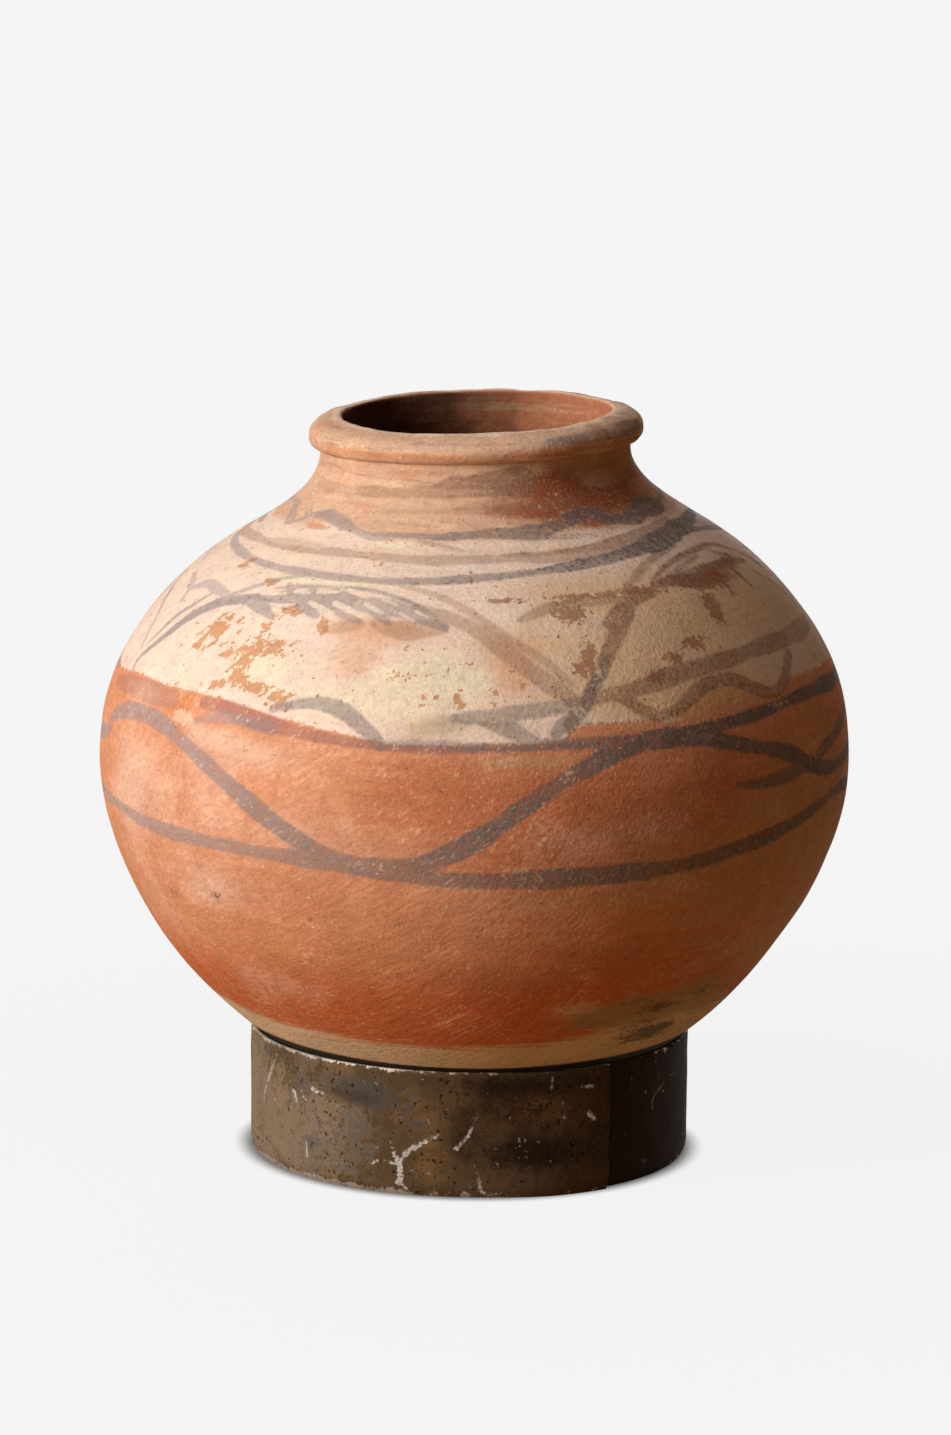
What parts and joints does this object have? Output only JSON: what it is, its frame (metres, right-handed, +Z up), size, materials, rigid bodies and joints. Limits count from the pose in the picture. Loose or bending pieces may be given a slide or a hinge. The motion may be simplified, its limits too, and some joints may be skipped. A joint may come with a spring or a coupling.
{
  "type": "painted clay urn on a ring stand",
  "caption": "Round-based hand-built clay urn with a rolled rim and painted slip bands, standing in a low ring of lapped metal strip that it lifts out of.",
  "frame": {"origin": "middle of the stand's foot, on the surface that it stands on", "axes": "+Z up along the urn's axis, -Y towards the viewer of the picture, +X to the right"},
  "size_m": [0.373, 0.373, 0.3745],
  "materials": {
    "bare_clay": "low-fired buff and orange clay, wiped smooth by hand",
    "red_slip": "red-orange clay slip, stone-burnished, with dark brushed lines",
    "cream_slip": "flaking cream slip with dark brushed lines",
    "patinated_metal": "brown and olive patina on rolled strip, chipped to bare metal",
    "braze": "tarnished braze"
  },
  "bodies": {
    "stand": {"stand_band": "patinated_metal", "lap_braze": "braze"},
    "urn": {"base_bowl": "bare_clay", "lower_belly": "red_slip", "middle_belly": "red_slip", "upper_belly": "cream_slip", "shoulder": "cream_slip", "neck_collar": "bare_clay", "rim_coil": "bare_clay"}
  },
  "joints": [
    {"name": "urn_lift", "type": "slide", "parent": "stand", "child": "urn", "axis": [0, 0, 1], "range_m": [0, 0.1]}
  ]
}
